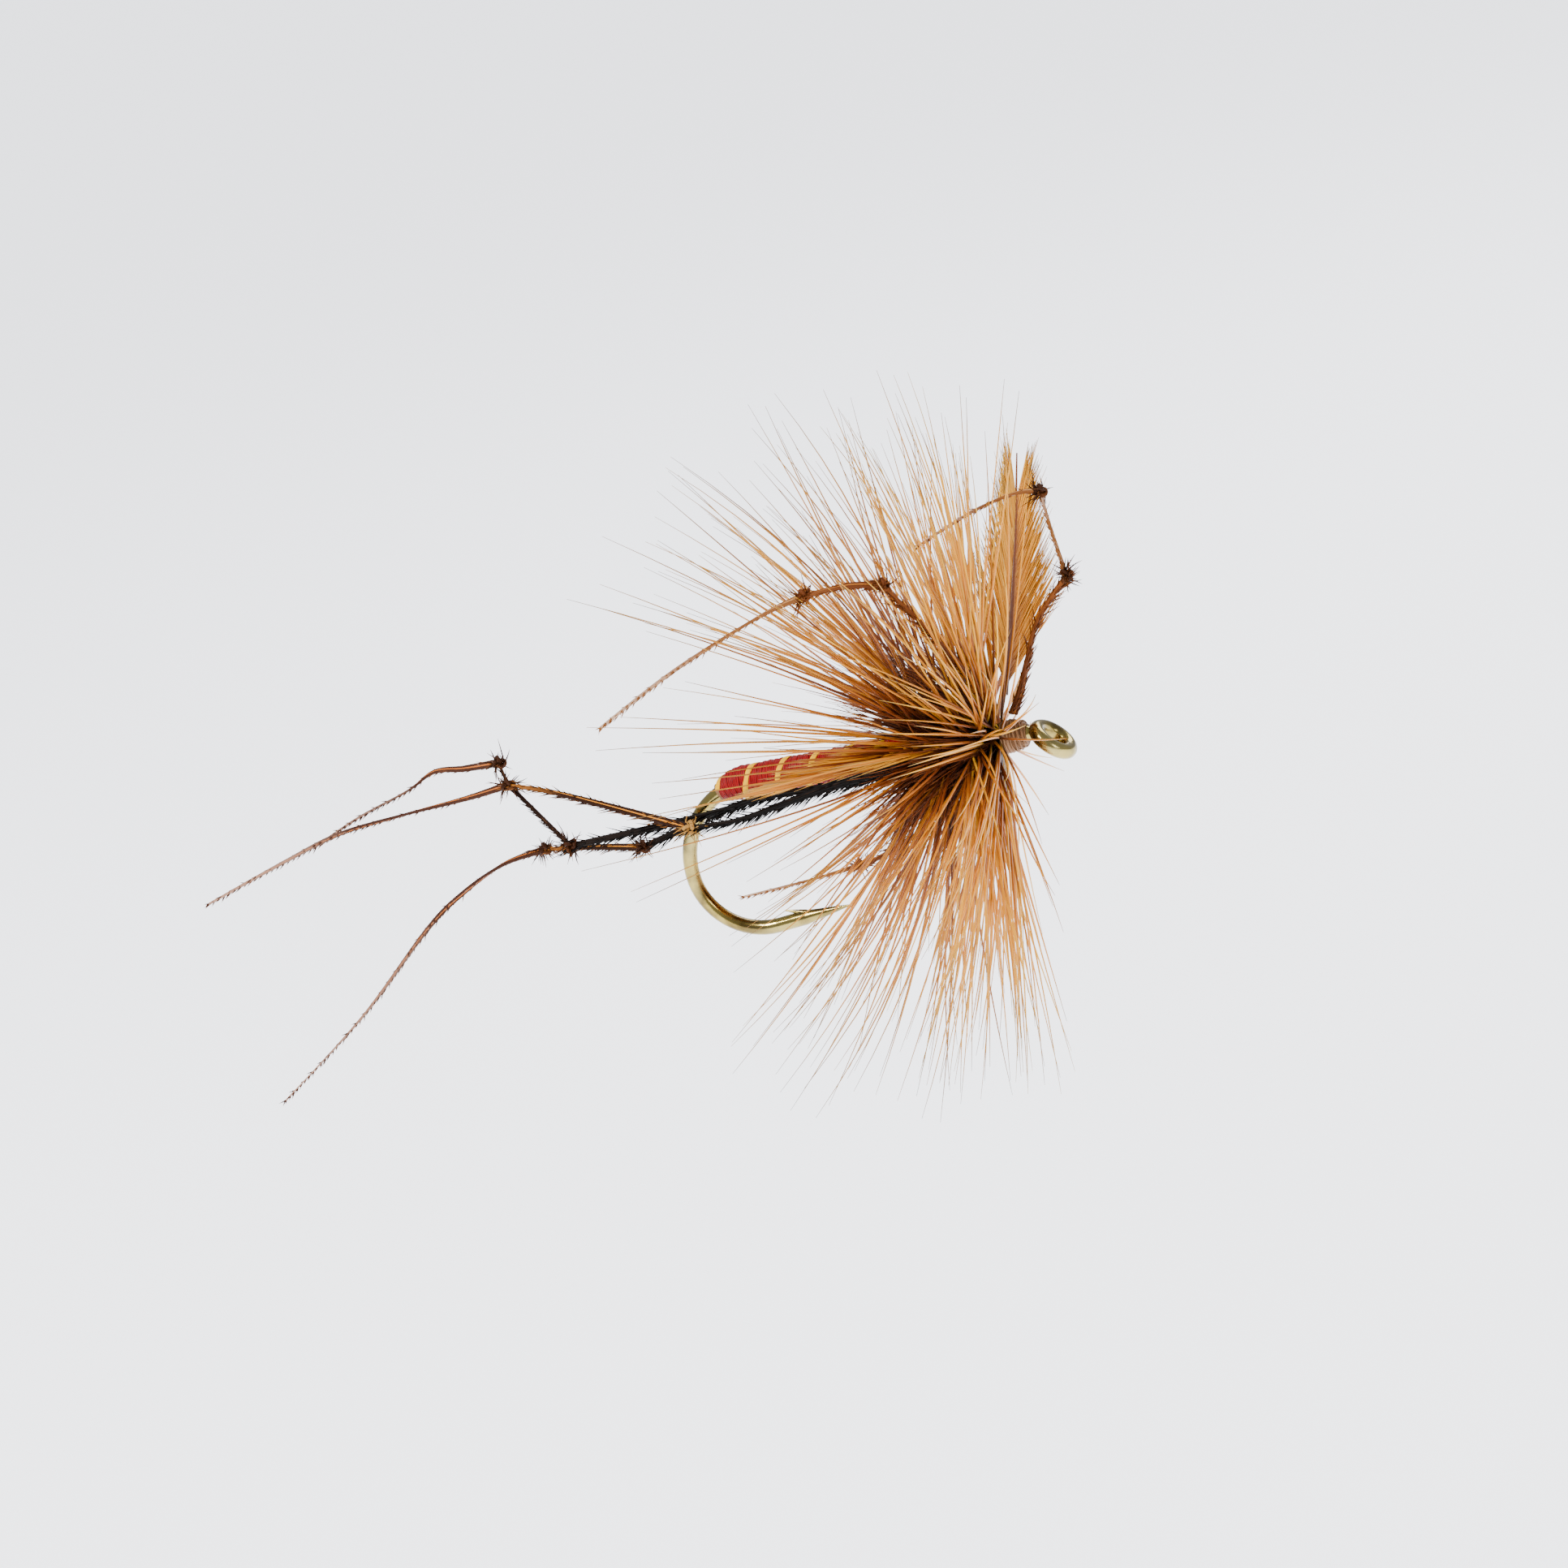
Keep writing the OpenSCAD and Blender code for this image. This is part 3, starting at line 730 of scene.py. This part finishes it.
def grown_mesh(name, paths, tree, **sizes):
    """Runs a node tree on the paths and returns the plain mesh that it makes. The paths and the sizes are in
    millimetres and degrees."""
    data = bpy.data.curves.new(name + "_path", "CURVE")
    data.dimensions = "3D"
    for path in paths:
        spline = data.splines.new("POLY")
        spline.points.add(len(path) - 1)
        for point, place in zip(spline.points, path):
            point.co = (*(Vector(place) * MM), 1.0)
    holder = bpy.data.objects.new(name + "_path", data)
    bpy.context.scene.collection.objects.link(holder)
    modifier = holder.modifiers.new("grow", "NODES")
    modifier.node_group = tree
    for item in tree.interface.items_tree:
        key = item.name.replace(" ", "_")
        if item.in_out == "INPUT" and key in sizes:
            modifier[item.identifier] = tree_value(item.name, sizes[key])
    bpy.context.view_layer.update()
    graph = bpy.context.evaluated_depsgraph_get()
    mesh = bpy.data.meshes.new_from_object(holder.evaluated_get(graph), depsgraph=graph)
    mesh.name = name
    holder.modifiers.remove(modifier)
    bpy.data.objects.remove(holder)
    bpy.data.curves.remove(data)
    keep_only(mesh, ("along", "around", "tone"))
    return shade_smooth(mesh)


def keep_only(mesh, names):
    """Drops the working attributes that the finished mesh doesn't need."""
    spare = [a.name for a in mesh.attributes if not a.is_required and a.name not in names]
    for name in spare:
        if name in mesh.attributes and not name.startswith("."):
            mesh.attributes.remove(mesh.attributes[name])


def joined(name, meshes):
    """One mesh made of several."""
    points, faces = [], []
    values = {"along": [], "around": [], "tone": []}
    for mesh in meshes:
        base = len(points)
        points.extend(v.co.copy() for v in mesh.vertices)
        faces.extend(tuple(base + i for i in p.vertices) for p in mesh.polygons)
        for key, store_in in values.items():
            if key in mesh.attributes:
                store_in.extend(d.value for d in mesh.attributes[key].data)
            else:
                store_in.extend([0.5] * len(mesh.vertices))
    for mesh in meshes:
        bpy.data.meshes.remove(mesh)
    return plain_mesh(name, points, faces, **values)


# ------------ body
def body_axis(s):
    """The body's axis s millimetres behind the front of the floss: its place, and the direction outwards
    at the top. It runs along the shank, and then round the bend."""
    straight = BODY_FRONT - BEND_X
    if s <= straight:
        return Vector((BODY_FRONT - s, 0, SHANK_Z)), Vector((0, 0, 1))
    turn = (s - straight) / BEND_R
    out = Vector((-math.sin(turn), 0, math.cos(turn)))
    return Vector((BEND_X, 0, SHANK_Z - BEND_R)) + out * BEND_R, out


BODY_LEN = BODY_FRONT - BEND_X + math.radians(BODY_BEND) * BEND_R


def rib_angle(s):
    """How far round the rib has gone, s millimetres behind the front of the floss."""
    return -2 * math.pi * (s / RIB_PITCH + RIB_START)


def body_radius(s, angle):
    """The floss is fullest behind the hackle and rounds off at the rear; the rib draws it in."""
    share = min(max(s / BODY_LEN, 0), 1)
    r = BODY_R_FRONT + (BODY_R_REAR - BODY_R_FRONT) * share
    tail = max(0.0, (share - TAIL_START) / (1 - TAIL_START))
    r *= math.sqrt(max(0.0, 1 - tail ** TAIL_POWER * TAIL_DROP))
    lay = 2 * math.pi * s / FLOSS_STRAND + angle
    r += STRAND_RELIEF * math.sin(lay) + UNEVEN_RELIEF * math.sin(0.43 * lay + 3 * angle)
    r += LUMP_RELIEF * math.sin(5 * angle + 3 * s)
    off = (angle - rib_angle(s)) / (2 * math.pi)
    off = abs(off - round(off)) * RIB_PITCH
    return r - RIB_SINK * math.exp(-(off / RIB_SINK_REACH) ** 2)


def on_body(s, angle, r):
    """The point at a distance r from the body's axis, at an angle from the top."""
    centre, out = body_axis(s)
    return centre + out * (r * math.cos(angle)) + Vector((0, 1, 0)) * (r * math.sin(angle))


def make_floss(finish):
    """The wound floss, with its strands and the furrow under the rib."""
    points, along, around = [], [], []
    for i in range(BODY_RINGS + 1):
        s = BODY_LEN * i / BODY_RINGS
        for k in range(BODY_SIDES):
            angle = 2 * math.pi * k / BODY_SIDES
            points.append(on_body(s, angle, body_radius(s, angle)) * MM)
            along.append(i / BODY_RINGS)
            around.append(abs(2 * k / BODY_SIDES - 1))
    faces = ring_faces(BODY_RINGS, BODY_SIDES, flip=True)
    mesh = plain_mesh("floss_wound", points, faces, along=along, around=around)
    add_piece("floss_wound", mesh, finish["floss"], "root", "red_floss", "floss_body")


def make_rib(finish):
    """The flat strip wound over the floss."""
    count = int(BODY_LEN / RIB_PITCH * RIB_STEPS)
    places = [BODY_LEN * RIB_COVER * i / count + RIB_BEGIN for i in range(count + 1)]
    path = [on_body(s, rib_angle(s), body_radius(s, rib_angle(s)) + RIB_LIFT) for s in places]
    points, along, around = [], [], []
    for i, (s, place) in enumerate(zip(places, path)):
        centre, _ = body_axis(s)
        way = (path[min(i + 1, count)] - path[max(i - 1, 0)]).normalized()
        out = (place - centre).normalized()
        over = way.cross(out).normalized()
        half = RIB_WIDTH / 2 * (1 + RIB_WAVER * math.sin(i * RIB_WAVER_PACE))
        for k in range(RIB_SIDES):
            turn = 2 * math.pi * k / RIB_SIDES
            edge = over * (half * math.cos(turn)) + out * (RIB_HALF_THICK * math.sin(turn))
            points.append((place + edge) * MM)
            along.append(i / count)
            around.append(k / RIB_SIDES)
    mesh = plain_mesh("rib_strip", points, ring_faces(count, RIB_SIDES), along=along, around=around)
    add_piece("rib_strip", mesh, finish["rib"], "root", "yellow_rib", "rib")


# ------------ thread
def wound_path(x0, x1, r0, r1, pitch, start=0.0, slant=0.0):
    """Turns of thread laid round the shank from x0 to x1, over a radius that runs from r0 to r1."""
    turns = abs(x1 - x0) / pitch
    count = int(turns * THREAD_STEPS)
    path = []
    for i in range(count + 1):
        share = i / count
        angle = start + 2 * math.pi * turns * share
        r = r0 + (r1 - r0) * share
        x = x0 + (x1 - x0) * share + slant * math.sin(angle)
        path.append(Vector((x, r * math.sin(angle), SHANK_Z + r * math.cos(angle))))
    return path


def make_thread(finish):
    """The head, layer on layer over a plain core, and the two hidden sets of wraps."""
    layers = [wound_path(*layer[:-1]) for layer in HEAD_LAYERS]
    tones = [layer[-1] for layer in HEAD_LAYERS]
    ends = [Vector((HEAD[0] + 0.02, 0, SHANK_Z)), Vector((HEAD[1] - 0.02, 0, SHANK_Z))]
    core = [ends[0].lerp(ends[1], i / 8) for i in range(9)]
    head = joined("head_winding", [
        tube_mesh("head_layers", layers, THREAD_SIDES, lambda s: THREAD_R, tone=tones),
        tube_mesh("head_core", [core], 32, lambda s: HEAD_R[0] + (HEAD_R[1] - HEAD_R[0]) * s),
    ])
    add_piece("head_winding", head, finish["thread"], "root", "tying_thread", "head_thread")
    for name, (x, half, r) in TIE_WRAPS.items():
        wraps = [
            wound_path(x - half, x + half, r - 0.04, r - 0.04, 0.09),
            wound_path(x + half, x - half, r, r, 0.13, 1.4, 0.04),
        ]
        mesh = tube_mesh(name + "_turns", wraps, THREAD_SIDES, lambda s: THREAD_R, tone=[0.3, 0.7])
        add_piece(name + "_turns", mesh, finish["thread"], "root", "tying_thread", name)


# ------------ hackle
def stem_path(ends):
    """The path of a hackle stem wound round the thread, from the back to the front."""
    count = STEM_TURNS * STEM_STEPS
    path = []
    for i in range(count + 1):
        angle = 2 * math.pi * i / STEM_STEPS
        x = ends[0] + (ends[1] - ends[0]) * i / count
        path.append(Vector((x, STEM_TURN_R * math.sin(angle), SHANK_Z + STEM_TURN_R * math.cos(angle))))
    return path


# What all the hackle fibres share, then the barbs of each hackle, then the webby fibres near the stems.
HACKLE = {
    "Axis_Height": SHANK_Z, "Tilt": (0.0, math.radians(13), math.radians(13)), "Steps": 11,
    "Length_Spread": 0.3, "Width": 0.07,
}
REAR_BARBS = {
    "Count": 250, "Length": 17.2, "Sweep_Low": 26, "Sweep_Low_Under": 56, "Sweep_High": 93,
    "Crowding": 0.8, "Curl": 0.36, "Wander": 0.06, "Seed": 3,
}
FRONT_BARBS = {
    "Count": 380, "Length": 17.0, "Sweep_Low": 58, "Sweep_Low_Under": 70, "Sweep_High": 101,
    "Crowding": 1.3, "Curl": 0.15, "Wander": 0.05, "Seed": 8,
}
WEB = {
    "Width": 0.05, "Steps": 7, "Length_Spread": 0.6, "Length": 6.4, "Sweep_Low": 14, "Sweep_Low_Under": 36,
    "Sweep_High": 88, "Crowding": 0.8, "Curl": 0.3, "Wander": 0.12,
}
REAR_WEB = {**WEB, "Seed": 21, "Count": 480}
FRONT_WEB = {**WEB, "Seed": 34, "Count": 420}


def make_hackles(finish, barbs):
    """Two hackles, one behind the other: wound stems, long barbs, and short webby fibres among them."""
    rear, front = stem_path(REAR_HACKLE), stem_path(FRONT_HACKLE)
    for name, path, node, tone in (
        ("rear_hackle_stem", rear, "hackle_rear_quill", 0.2),
        ("front_hackle_stem", front, "hackle_front_quill", 0.5),
    ):
        mesh = tube_mesh(name, [path], 10, lambda s: STEM_R * (1 - 0.3 * s), tone=tone)
        add_piece(name, mesh, finish["stem"], "root", "feather_stem", node)
    for name, path, look, key, slot_name, *node in (
        ("rear_hackle_barbs", rear, REAR_BARBS, "brown", "brown_hackle", "hackle_rear_barbs"),
        ("front_hackle_barbs", front, FRONT_BARBS, "ginger", "ginger_hackle", "hackle_front_barbs"),
        ("rear_hackle_web", rear, REAR_WEB, "web", "brown_hackle"),
        ("front_hackle_web", front, FRONT_WEB, "web", "brown_hackle"),
    ):
        mesh = grown_mesh(name, [path], barbs, **{**HACKLE, **look}, Finish=finish[key])
        add_piece(name, mesh, finish[key], "root", slot_name, *node)


# ------------ wings
def wing_frame(wing):
    """The wing's place: its own +X runs along the quill, and its own +Y across the vane."""
    turn = (
        Matrix.Rotation(math.radians(wing["heading"]), 3, "Z")
        @ Matrix.Rotation(math.radians(-wing["climb"]), 3, "Y")
        @ Matrix.Rotation(math.radians(wing["turn"]), 3, "X")
    )
    return Vector(wing["base"]), turn


# The stem of a wing in the wing's own axes: the share of its reach, then how far it strays from straight.
WING_STEM = ((0, 0, 0), (0.35, 0, 0.1), (0.7, 0.05, 0.15), (1, 0.15, 0.05))


def make_wings(finish, vane):
    """Each wing is a hackle tip: a stem with soft barbs that part towards its end."""
    for label, wing in WINGS.items():
        base, turn = wing_frame(wing)
        reach = WING_LEN * wing["stem"]
        path = smooth_path([base + turn @ Vector((reach * x, y, z)) for x, y, z in WING_STEM], PATH_STEPS)
        name = "wing_" + label
        stem = tube_mesh(name + "_stem", [path], 8, lambda s: 0.1 * (1 - s) + 0.035, tone=0.95)
        add_piece(name + "_stem", stem, finish["stem"], name, "feather_stem", name + "_quill")
        rooted = path[2:int(len(path) * wing["rooted"] / wing["stem"])]
        mesh = grown_mesh(
            name + "_barbs", [rooted], vane, Count=wing["count"], Length=wing["length"],
            Length_Spread=0.25, Width=0.05, Curl=0.06, Wander=0.05, Steps=8, Seed=wing["seed"],
            Side=tuple(turn @ Vector((0, 1, 0))), Lean=wing["lean"], Cup=0.05, Finish=finish["wing"],
        )
        add_piece(name + "_barbs", mesh, finish["wing"], name, "wing_feather", name + "_vane")


# ------------ legs
KNOT_SIZE = 0.3
KNOT_STRAND = 0.1
KNOT_POINTS = 60


def knot_path(at, way):
    """An overhand knot, drawn as the closed knot's curve with its long axis along way."""
    side = Vector((0, 1, 0))
    over = way.cross(side).normalized()
    path = []
    for i in range(KNOT_POINTS + 1):
        t = 2 * math.pi * i / KNOT_POINTS
        u = math.sin(t) + 2 * math.sin(2 * t)
        v = math.cos(t) - 2 * math.cos(2 * t)
        w = -math.sin(3 * t)
        path.append(at + (way * (u * 0.33) + over * (v * 0.3) + side * (w * 0.55)) * KNOT_SIZE)
    return path


LEG_LOOKS = {
    # Half-width at the start and end, tones of the strands, how far apart they lie, and the barbules' length
    # and number a millimetre.
    "femur": {"half": (0.12, 0.1), "tones": [0.1, 0.5, 0.3], "apart": 0.13, "hair": 1.15, "per_mm": 6},
    "tibia": {"half": (0.095, 0.085), "tones": [0.1, 0.95, 0.2], "apart": 0.1, "hair": 0.75, "per_mm": 6},
    "tarsus": {"half": (0.095, 0.03), "tones": [0.15, 0.9, 0.3], "apart": 0.1, "hair": 0.45, "per_mm": 3},
}
LEG_FINISHES = {
    # femur, tibia, tarsus, and the knots at the knee and the ankle
    "leg1": ("black", "dark_tibia", "tarsus", "knot", "knot"),
    "leg2": ("black", "tibia", "tarsus", "tan_knot", "knot"),
    "leg3": ("black", "tibia", "tarsus", "knot", "knot"),
    "leg4": ("brown_leg", "brown_leg", "pale_tarsus", "brown_leg", "brown_leg"),
    "leg5": ("brown_leg", "pale_tarsus", "pale_tarsus", "knot", "knot"),
    "leg6": ("brown_leg", "brown_leg", "pale_tarsus", "brown_leg", "brown_leg"),
}
SLIM_TIBIAE = ("leg1", "leg5")
SLIM = 0.62              # their width against the others'
TWIST = 30               # length in which the strands turn once about each other


def strand_bundle(path, apart, turns, phase):
    """Three fibres that lie together along a path, side by side, and turn slowly about each other."""
    bundle = ([], [], [])
    frames = frames_along(path)
    last = len(path) - 1
    for i, (place, (side, over)) in enumerate(zip(path, frames)):
        turn = phase + 2 * math.pi * turns * i / last
        off = (side * math.cos(turn) + over * math.sin(turn)) * apart * (1 - 0.6 * i / last)
        bundle[0].append(place - off)
        bundle[1].append(place + side * 0.02)
        bundle[2].append(place + off)
    return bundle


def leg_length(name, path, look, fringe, seed, slim, finish):
    """The strands of one length of leg, and their barbules, mostly on the lower side."""
    length = sum((b - a).length for a, b in zip(path, path[1:]))
    wide, thin = (half * slim for half in look["half"])
    bundle = strand_bundle(path, look["apart"] * slim, length / TWIST, 1.2 + seed * 0.2)
    meshes = [tube_mesh(name, list(bundle), 8, lambda s: wide + (thin - wide) * s, tone=look["tones"])]
    for number, strand in enumerate(bundle):
        side = (0.0, -0.35, -1.0) if number != 1 else (0.0, -0.2, 1.0)
        count = int(length * look["per_mm"] * (0.45 if number == 1 else 1))
        meshes.append(grown_mesh(
            "barbules", [strand], fringe, Count=max(count, 4), Length=look["hair"] * slim,
            Length_Spread=0.5, Width=0.042, Curl=0.12, Wander=0.08, Steps=4, Seed=seed * 7 + number,
            Lean_Low=16, Lean_High=34, Side=side, Fan=0.8, Finish=finish,
        ))
    return meshes


def make_knot(at, way, fringe, seed, finish):
    """A knot with the cut and bent barbules that stand out all round it like a star."""
    bristle = [at - way * 0.3, at, at + way * 0.3]
    spikes = grown_mesh(
        "spikes", [bristle], fringe, Count=34, Length=1.0, Length_Spread=0.5, Width=0.045, Curl=0.1,
        Wander=0.3, Steps=4, Seed=seed * 5 + 2, Lean_Low=30, Lean_High=140, Side=(0.0, 0.0, 1.0), Fan=3.14,
        Finish=finish,
    )
    loop = tube_mesh("loop", [knot_path(at, way)], 8, lambda s: KNOT_STRAND, tone=0.2)
    return joined("knot", [loop, spikes])


def make_leg(label, finish, fringe, seed):
    """One knotted leg: its three lengths, each on its own body, and the knots at the knee and ankle."""
    finishes = LEG_FINISHES[label]
    for number, (part, body, points) in enumerate(zip(LEG_PARTS, LEG_BODIES, LEGS[label])):
        path = smooth_path(points, PATH_STEPS)
        slim = SLIM if part == "tibia" and label in SLIM_TIBIAE else 1.0
        name = label + "_" + part
        slot_name = "dark_pheasant" if part == "femur" else "brown_pheasant"
        look = finish[finishes[number]]
        lengths = leg_length(name, path, LEG_LOOKS[part], fringe, seed + number, slim, look)
        mesh = joined(name + "_fibres", lengths)
        add_piece(name + "_fibres", mesh, look, label + "_" + body, slot_name, name)
        if number:
            way = (path[1] - path[0]).normalized()
            look = finish[finishes[number + 2]]
            knot = make_knot(path[0], way, fringe, seed + 3 * number, look)
            knot_name = label + ("_knee_knot" if number == 1 else "_ankle_knot")
            add_piece(knot_name, knot, look, label + "_" + body, slot_name)


# ------------ frame nodes that stay
def dress_frame(finish):
    """The hook and the hidden thread keep their own shape, and take a finish."""
    for node, key in (("hook", "hook"), ("thread_underbody", "thread")):
        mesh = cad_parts[node].data
        mesh.materials.clear()
        mesh.materials.append(finish[key])


# ------------ camera, floor and light
def make_camera():
    """Looks at the fly from its right side, a little ahead and above, with the shank climbing."""
    azimuth, elevation, roll = 19.61, 15.51, -15.02
    distance, lens = 0.185, 91.9
    target = Vector((-0.01193, -0.0039, 0.00118))
    a, e = math.radians(azimuth), math.radians(elevation)
    back = Vector((math.sin(a) * math.cos(e), -math.cos(a) * math.cos(e), math.sin(e)))
    data = bpy.data.cameras.new("camera")
    data.lens = lens
    data.clip_start = 0.01
    data.clip_end = 60
    camera = bpy.data.objects.new("camera", data)
    bpy.context.scene.collection.objects.link(camera)
    turn = back.to_track_quat("Z", "Y").to_matrix() @ Matrix.Rotation(math.radians(roll), 3, "Z")
    camera.matrix_world = Matrix.Translation(target + back * distance) @ turn.to_4x4()
    bpy.context.scene.camera = camera


def make_floor():
    """A pale floor that glows a little, wide enough to fill every view."""
    size, height = 14.0, -0.085
    mesh = bpy.data.meshes.new("floor")
    corners = [(-size, -size, height), (size, -size, height), (size, size, height), (-size, size, height)]
    mesh.from_pydata(corners, [], [(0, 1, 2, 3)])
    made, net, shader = new_material("pale_floor")
    finish_shader(
        net, shader, Base_Color=rgb("F7F8FB"), Roughness=0.8, Emission_Color=rgb("F3F5FC"),
        Emission_Strength=2.25,
    )
    mesh.materials.append(made)
    floor = bpy.data.objects.new("floor", mesh)
    bpy.context.scene.collection.objects.link(floor)


LIT_POINT = Vector((-0.012, 0, 0.002))
LIGHTS = {
    # place, size of the square and power
    "key": ((-0.2, -0.3, 0.5), 0.16, 5.5),
    "fill": ((0.45, -0.3, 0.2), 0.2, 0.8),
    "back": ((0.1, 0.5, 0.4), 0.3, 2.0),
}


def make_light(name, place, size, power):
    """A square lamp that faces the fly."""
    data = bpy.data.lights.new(name, "AREA")
    data.shape = "SQUARE"
    data.size = size
    data.energy = power
    light = bpy.data.objects.new(name, data)
    light.location = place
    away = Vector(place) - LIT_POINT
    light.rotation_mode = "QUATERNION"
    light.rotation_quaternion = away.to_track_quat("Z", "Y")
    bpy.context.scene.collection.objects.link(light)


def make_surroundings():
    """The sky and the lamps."""
    world = bpy.data.worlds.new("studio")
    world.use_nodes = True
    sky = world.node_tree.nodes["Background"]
    sky.inputs["Color"].default_value = rgb("EEF0F6")
    sky.inputs["Strength"].default_value = 0.6
    bpy.context.scene.world = world
    for name, (place, size, power) in LIGHTS.items():
        make_light(name, place, size, power)


make_camera()
make_floor()
make_surroundings()
finishes = all_materials()
dress_frame(finishes)
make_floss(finishes)
make_rib(finishes)
make_thread(finishes)
make_hackles(finishes, hackle_tree())
make_wings(finishes, vane_tree())
fringe_net = fringe_tree()
for leg_number, leg_label in enumerate(LEGS):
    make_leg(leg_label, finishes, fringe_net, leg_number + 1)
